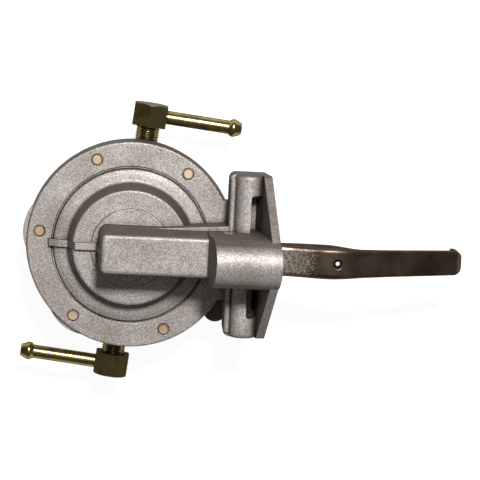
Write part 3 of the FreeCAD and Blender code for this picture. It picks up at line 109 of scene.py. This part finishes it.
def die_cast_aluminium(name, blasted_tones, wall_shade_tones):
    """Die-cast aluminium alloy, shot-blasted: a warm light grey with a fine bright grain.

    The flats are blasted bright. The drafted walls take darker tones as painted shade, and
    painted shade from ambient occlusion darkens the hollows. The grit's own marks are about
    0.2 mm; the grain is drawn at 0.7 mm so that it shows at this distance. The mounting face is
    milled: bright, smooth and finely lined.
    Its cutter lines are about 0.3 mm apart and are drawn 1.1 mm apart, to show. The blasted skin
    scatters most light, so it is only half metallic, and its dark specular tint keeps the pale
    room from glaring at grazing angles.
    """
    material, tree = finish_named(name)
    coordinates = add(tree, "TexCoord")
    place, facing = coordinates.outputs["Object"], coordinates.outputs["Normal"]
    grain = add(tree, "TexNoise", {"Vector": place, "Scale": per_mm(0.7), "Detail": 3.0,
                                   "Roughness": 0.6})
    cloud = add(tree, "TexNoise", {"Vector": place, "Scale": per_mm(16), "Detail": 4.0})
    blasted = add(tree, "ValToRGB", {"Fac": grain}, stops=zip((0.32, 0.5, 0.66), blasted_tones))
    # painted shade: these darker tones go where a face turns from up to the side, for the shade on
    # steep walls
    painted_wall_shade = add(tree, "ValToRGB", {"Fac": grain}, stops=zip((0.32, 0.68), wall_shade_tones))
    upward = add(tree, "SeparateXYZ", {"Vector": facing}).outputs["Z"]
    flat = add(tree, "MapRange", {"Value": upward, "From Min": 0.62, "From Max": 0.92})
    cast = add(tree, "Mix", {"Factor": flat, UNDER: painted_wall_shade, OVER: blasted}, **LAID_OVER)
    stain = add(tree, "ValToRGB", {"Fac": cloud}, stops=[(0.3, "e0dcd7"), (0.7, "ffffff")])
    stained = add(tree, "Mix", {"Factor": 1.0, UNDER: cast, OVER: stain}, **MULTIPLIED)
    # painted shade: ambient occlusion darkens the hollows and creases
    hollow = add(tree, "AmbientOcclusion", {"Distance": 5 * MM}, samples=6).outputs["AO"]
    painted_crease_shade = add(tree, "ValToRGB", {"Fac": hollow}, stops=[(0.3, "948a80"), (0.75, "ffffff")])
    crease_shaded = add(tree, "Mix", {"Factor": 1.0, UNDER: stained, OVER: painted_crease_shade}, **MULTIPLIED)
    milled = add(tree, "VectorMath", {0: facing, 1: FLANGE_NORMAL}, operation="DOT_PRODUCT")
    on_face = add(tree, "Math", {0: milled, 1: FACE_LIMIT}, operation="GREATER_THAN")
    lines = add(tree, "TexWave", {"Vector": place, "Scale": per_mm(1.1) * math.pi / 10,
                                  "Distortion": 0.6}, bands_direction="Y")
    cut = add(tree, "ValToRGB", {"Fac": lines}, stops=[(0.2, "b9b7b4"), (0.8, "cdcbc8")])
    base = add(tree, "Mix", {"Factor": on_face, UNDER: crease_shaded, OVER: cut}, **LAID_OVER)
    blasted_dull = add(tree, "MapRange", {"Value": grain, "To Min": 0.6, "To Max": 0.48})
    cast_dull = add(tree, "Mix", {"Factor": flat, "A": 0.58, "B": blasted_dull})
    dull = add(tree, "Mix", {"Factor": on_face, "A": cast_dull, "B": 0.24})
    edge = add(tree, "Bevel", {"Radius": 0.6 * MM}, samples=6)
    pits = add(tree, "Bump", {"Height": grain, "Distance": 0.1 * MM, "Strength": 0.6, "Normal": edge})
    shader = add(tree, "BsdfPrincipled", {
        "Base Color": base, "Metallic": 0.48, "Roughness": dull,
        "Specular Tint": colour("6b645f"), "Normal": pits})
    add(tree, "OutputMaterial", {"Surface": shader})
    return material


def yellow_zinc_plate():
    """Turned steel, zinc plated and yellow passivated: olive brown, smooth, with sharp glints.

    The plating drifts between brass and olive, and painted shade from ambient occlusion darkens the
    corners by the hexagon. Its grain is finer than 0.1 mm and is drawn at 0.9 mm, so that the shine
    breaks up visibly.
    """
    material, tree = finish_named("yellow_passivated_zinc_plate")
    place = add(tree, "TexCoord").outputs["Object"]
    drift = add(tree, "TexNoise", {"Vector": place, "Scale": per_mm(9), "Detail": 3.0,
                                   "Distortion": 0.6})
    fine = add(tree, "TexNoise", {"Vector": place, "Scale": per_mm(0.9), "Detail": 3.0})
    tone = add(tree, "ValToRGB", {"Fac": drift},
               stops=[(0.3, "7d6d45"), (0.5, "a0905f"), (0.7, "86795a")])
    # painted shade: ambient occlusion darkens the corners and creases
    hollow = add(tree, "AmbientOcclusion", {"Distance": 2.5 * MM}, samples=6).outputs["AO"]
    painted_crease_shade = add(tree, "ValToRGB", {"Fac": hollow}, stops=[(0.3, "5a4f3c"), (0.8, "ffffff")])
    crease_shaded = add(tree, "Mix", {"Factor": 1.0, UNDER: tone, OVER: painted_crease_shade}, **MULTIPLIED)
    dull = add(tree, "MapRange", {"Value": fine, "To Min": 0.2, "To Max": 0.32})
    edge = add(tree, "Bevel", {"Radius": 0.3 * MM}, samples=4)
    marks = add(tree, "Bump", {"Height": fine, "Distance": 0.02 * MM, "Strength": 0.4, "Normal": edge})
    shader = add(tree, "BsdfPrincipled", {
        "Base Color": crease_shaded, "Metallic": 0.95, "Roughness": dull,
        "Specular Tint": colour("4f4630"), "Normal": marks})
    add(tree, "OutputMaterial", {"Surface": shader})
    return material


def hardened_stamping():
    """Stamped steel, case hardened and oiled: dark brown scale that shines softly.

    The scale is worn to mottled bare steel on the web's rise between housing and bend. Its
    grain is about 0.1 mm and is drawn at 1.1 mm, so that the mottling shows.
    """
    material, tree = finish_named("case_hardened_stamped_steel")
    coordinates = add(tree, "TexCoord")
    place = coordinates.outputs["Object"]
    drift = add(tree, "TexNoise", {"Vector": place, "Scale": per_mm(14), "Detail": 4.0,
                                   "Distortion": 0.8})
    fine = add(tree, "TexNoise", {"Vector": place, "Scale": per_mm(1.1), "Detail": 4.0})
    scale = add(tree, "ValToRGB", {"Fac": drift},
                stops=[(0.3, "4a3e32"), (0.5, "5f5143"), (0.72, "6e6256")])
    outward = add(tree, "SeparateXYZ", {"Vector": place}).outputs["X"]
    past_wear = add(tree, "MapRange", {"Value": outward, "From Min": WEAR_START,
                                       "From Max": WEAR_END, "To Min": 0.3, "To Max": -0.35})
    patchy = add(tree, "Math", {0: fine, 1: past_wear}, operation="ADD")
    rubbed = add(tree, "MapRange", {"Value": patchy, "From Min": 0.5, "From Max": 0.8})
    upward = add(tree, "SeparateXYZ", {"Vector": coordinates.outputs["Normal"]}).outputs["Z"]
    web = add(tree, "MapRange", {"Value": upward, "From Min": 0.86, "From Max": 0.97})
    bare = add(tree, "Math", {0: rubbed, 1: web}, operation="MULTIPLY")
    worn = add(tree, "ValToRGB", {"Fac": fine}, stops=[(0.35, "84766a"), (0.65, "bfb3a5")])
    tone = add(tree, "Mix", {"Factor": bare, UNDER: scale, OVER: worn}, **LAID_OVER)
    # painted shade: ambient occlusion darkens the hollows and creases
    hollow = add(tree, "AmbientOcclusion", {"Distance": 3 * MM}, samples=6).outputs["AO"]
    painted_crease_shade = add(tree, "ValToRGB", {"Fac": hollow}, stops=[(0.35, "1c1712"), (0.8, "ffffff")])
    crease_shaded = add(tree, "Mix", {"Factor": 1.0, UNDER: tone, OVER: painted_crease_shade}, **MULTIPLIED)
    dull = add(tree, "MapRange", {"Value": fine, "To Min": 0.28, "To Max": 0.46})
    edge = add(tree, "Bevel", {"Radius": 0.8 * MM}, samples=6)
    marks = add(tree, "Bump", {"Height": fine, "Distance": 0.05 * MM, "Strength": 0.4, "Normal": edge})
    shader = add(tree, "BsdfPrincipled", {
        "Base Color": crease_shaded, "Metallic": 0.9, "Roughness": dull,
        "Specular Tint": colour("3c342c"), "Normal": marks})
    add(tree, "OutputMaterial", {"Surface": shader})
    return material


def worked_metal(name, dark, light, grain_mm, shine):
    """Bare or plated metal: two tones that drift, and a grain that breaks up its shine.

    The real grain is finer than 0.1 mm, and is drawn coarser so that it shows.
    """
    material, tree = finish_named(name)
    place = add(tree, "TexCoord").outputs["Object"]
    drift = add(tree, "TexNoise", {"Vector": place, "Scale": per_mm(12), "Detail": 2.0})
    fine = add(tree, "TexNoise", {"Vector": place, "Scale": per_mm(grain_mm), "Detail": 3.0})
    tone = add(tree, "ValToRGB", {"Fac": drift}, stops=[(0.3, dark), (0.7, light)])
    dull = add(tree, "MapRange", {"Value": fine, "To Min": shine - 0.08, "To Max": shine + 0.1})
    marks = add(tree, "Bump", {"Height": fine, "Distance": 0.03 * MM, "Strength": 0.4})
    shader = add(tree, "BsdfPrincipled", {
        "Base Color": tone, "Metallic": 0.95, "Roughness": dull, "Normal": marks})
    add(tree, "OutputMaterial", {"Surface": shader})
    return material


def moulded_rubber(name, dark, light, grain_mm):
    """Nitrile rubber, moulded: near black and dull, with a faint grain of cloth or mould.

    Cloth shows through its coating at about 0.5 mm and a mould's grain is finer; both are drawn
    coarse enough to show.
    """
    material, tree = finish_named(name)
    place = add(tree, "TexCoord").outputs["Object"]
    fine = add(tree, "TexNoise", {"Vector": place, "Scale": per_mm(grain_mm), "Detail": 3.0})
    tone = add(tree, "ValToRGB", {"Fac": fine}, stops=[(0.35, dark), (0.65, light)])
    marks = add(tree, "Bump", {"Height": fine, "Distance": 0.06 * MM, "Strength": 0.5})
    shader = add(tree, "BsdfPrincipled", {"Base Color": tone, "Roughness": 0.7, "Normal": marks})
    add(tree, "OutputMaterial", {"Surface": shader})
    return material


CAST = die_cast_aluminium("shot_blasted_die_cast_aluminium", ("918a85", "bab3ae", "dcd7d2"),
                          ("5f5852", "7c746d"))
# the lower casting is the same alloy; this darker copy of its tones is painted shade
SHADED_CAST_COPY = die_cast_aluminium("shaded_copy_die_cast_aluminium", ("514c47", "6a645e", "86807a"),
                                  ("3d3935", "57524d"))
YELLOW_ZINC = yellow_zinc_plate()
STAMPING = hardened_stamping()
# rolled threads under a yellow passivated zinc plate: pale gold, satin
SCREW_STEEL = worked_metal("yellow_zinc_screw_steel", "c8ae8e", "ecd8bc", 0.8, 0.5)
# pressed from plated sheet: pale grey with a soft blur
ZINC_SHEET = worked_metal("zinc_plated_sheet", "9a9a96", "c0c0bb", 0.8, 0.34)
# ground to size: bright, with sharp highlights
GROUND = worked_metal("ground_steel", "909094", "b8b8bb", 0.5, 0.22)
# drawn wire under oil: dark and glossy
SPRING = worked_metal("oiled_spring_wire", "4a4a4c", "6c6c6e", 0.6, 0.3)
# stamped from brass strip: warm yellow, smooth
BRASS = worked_metal("stamped_brass", "a88a4c", "cbb06c", 0.6, 0.28)
# woven cloth under rubber: black, with a coarse dull grain
CLOTH = moulded_rubber("rubber_coated_cloth", "161413", "2a2725", 0.8)
# solid moulded rubber: black and even
RUBBER = moulded_rubber("moulded_nitrile_rubber", "121212", "1e1e1e", 0.5)

FINISHES = {
    "rocker_housing": CAST, "fuel_chamber": SHADED_CAST_COPY, "clamp_screws": SCREW_STEEL,
    "lock_washers": SPRING, "diaphragm": CLOTH, "upper_protector_plate": ZINC_SHEET,
    "lower_protector_plate": ZINC_SHEET, "pull_rod": GROUND, "rod_collar": GROUND,
    "rod_seal": RUBBER, "seal_retainer": ZINC_SHEET, "diaphragm_spring": SPRING,
    "rocker_arm": STAMPING, "link": STAMPING, "pivot_pin": GROUND, "rocker_spring": SPRING,
    "pulsator_diaphragm": CLOTH, "pulsator_cover": ZINC_SHEET}
for side in ("inlet", "outlet"):
    FINISHES.update({
        side + "_valve_seat": BRASS, side + "_valve_disc": RUBBER, side + "_valve_spring": SPRING,
        side + "_valve_cage": BRASS, side + "_elbow": YELLOW_ZINC, side + "_nipple": YELLOW_ZINC})

for node_name, finish in FINISHES.items():
    node = frame["nodes"][node_name]
    node.data.materials.clear()
    node.data.materials.append(finish)


def housing_piece(name, mesh):
    """A mesh as a shown piece that rides on the housing."""
    piece = bpy.data.objects.new(name, mesh)
    bpy.context.scene.collection.objects.link(piece)
    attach(piece, "housing")
    return piece


def stem_thread(name, side):
    """The fitting's M12 x 1.25 thread where it shows between port and hexagon.

    Each row is one cut through the crest's ridge, and the rows climb by a pitch a turn.
    """
    crest, root, pitch = 5.97 * MM, 5.38 * MM, 1.25 * MM
    start, length, rows_a_turn = 50.7 * MM, 8.5 * MM, 48  # start is from the pump's axis
    ridge = ((root, -0.36), (crest, -0.07), (crest, 0.07), (root, 0.36))  # radius, part of a pitch
    form = bmesh.new()
    rows = []
    for step in range(int(length / pitch * rows_a_turn) + 1):
        angle = 2 * math.pi * step / rows_a_turn
        along = start + pitch * step / rows_a_turn
        row = []
        for radius, shift in ridge:
            row.append(form.verts.new((radius * math.cos(angle), side * (along + shift * pitch),
                                       PORT_HEIGHT + radius * math.sin(angle))))
        rows.append(row)
    for first, second in zip(rows, rows[1:]):
        for k in range(len(ridge)):
            beside = (k + 1) % len(ridge)
            form.faces.new((first[k], first[beside], second[beside], second[k]))
    form.faces.new(rows[0])
    form.faces.new(list(reversed(rows[-1])))
    bmesh.ops.transform(form, matrix=Matrix.Rotation(PORT_TURN, 4, "Z"), verts=form.verts)
    bmesh.ops.recalc_face_normals(form, faces=form.faces)
    mesh = bpy.data.meshes.new(name)
    form.to_mesh(mesh)
    form.free()
    for face in mesh.polygons:
        face.use_smooth = True
    mesh.materials.append(YELLOW_ZINC)
    housing_piece(name, mesh)


stem_thread("outlet_stem_thread", side=1)
stem_thread("inlet_stem_thread", side=-1)


def shortening_spring(node_name):
    """A copy of the coil spring, shown on the housing in place of its CAD part, with a mesh of its
    own.
    """
    mesh = frame["nodes"][node_name].data.copy()
    spring = housing_piece(node_name + "_coil", mesh)
    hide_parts(node_name)
    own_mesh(spring)


shortening_spring("diaphragm_spring")
shortening_spring("inlet_valve_spring")
shortening_spring("outlet_valve_spring")
shortening_spring("rocker_spring")


def pale_floor():
    """A plain pale floor: white to the eye and in reflections, and it keeps the pump's shadow.

    The matt part takes light and shadow. The glow is there for camera, glossy and transmission
    rays.
    """
    material, tree = finish_named("pale_studio_floor")
    path = add(tree, "LightPath")
    seen = add(tree, "Math", {0: path.outputs["Is Camera Ray"], 1: path.outputs["Is Glossy Ray"]},
               operation="MAXIMUM")
    through = add(tree, "Math", {0: seen, 1: path.outputs["Is Transmission Ray"]},
                  operation="MAXIMUM")
    matt = add(tree, "BsdfDiffuse", {"Color": colour("9c9c9c")})
    glow = add(tree, "Emission", {"Color": colour("ffffff"), "Strength": 0.93})
    lit = add(tree, "AddShader", {0: matt, 1: glow})
    shader = add(tree, "MixShader", {0: through, 1: matt, 2: lit})
    add(tree, "OutputMaterial", {"Surface": shader})
    form = bmesh.new()
    bmesh.ops.create_grid(form, x_segments=1, y_segments=1, size=FLOOR_REACH)
    mesh = bpy.data.meshes.new("studio_floor")
    form.to_mesh(mesh)
    form.free()
    mesh.materials.append(material)
    floor = bpy.data.objects.new("studio_floor", mesh)
    bpy.context.scene.collection.objects.link(floor)


def soft_lamp(name, place, size, power):
    """A square soft box that aims at the pump; size in metres, power in watts."""
    data = bpy.data.lights.new(name, "AREA")
    data.size = size
    data.energy = power
    lamp = bpy.data.objects.new(name, data)
    lamp.location = place
    lamp.rotation_euler = (Vector(PUMP) - Vector(place)).to_track_quat("-Z", "Y").to_euler()
    bpy.context.scene.collection.objects.link(lamp)


def studio_world():
    """A dim ceiling over pale walls: white at the horizon, dim from 14 degrees up."""
    world = bpy.data.worlds.new("studio")
    world.use_nodes = True
    tree = world.node_tree
    tree.nodes.clear()
    height = add(tree, "SeparateXYZ", {"Vector": add(tree, "TexCoord").outputs["Generated"]})
    wall = add(tree, "MapRange", {"Value": height.outputs["Z"], "From Min": 0.1, "From Max": 0.24,
                                  "To Min": 1.0, "To Max": 0.06})
    air = add(tree, "Background", {"Color": (1, 1, 1, 1), "Strength": wall})
    add(tree, "OutputWorld", {"Surface": air})
    bpy.context.scene.world = world


def camera_of_photo():
    """The camera as fitted to the photograph: 1.1 m up, leaning 8 degrees to the outlet's side."""
    data = bpy.data.cameras.new("camera")
    data.sensor_fit = "HORIZONTAL"
    data.angle = math.radians(12.63253)
    data.clip_end = 20
    eye = bpy.data.objects.new("camera", data)
    eye.location = (-4.84 * MM, 158.157 * MM, 1135.98 * MM)
    eye.rotation_euler = (-0.14204335, -0.04805678, 0.05087981)
    bpy.context.scene.collection.objects.link(eye)
    bpy.context.scene.camera = eye


pale_floor()
studio_world()
# the key's slant and small size give the dark band of shadow beside the housing's box
soft_lamp("key", place=(0.13, 0.52, 1.05), size=0.16, power=13.5)
soft_lamp("fill", place=(-0.05, 0.1, 1.3), size=0.6, power=0.5)
camera_of_photo()
bpy.context.scene.view_settings.view_transform = "Standard"
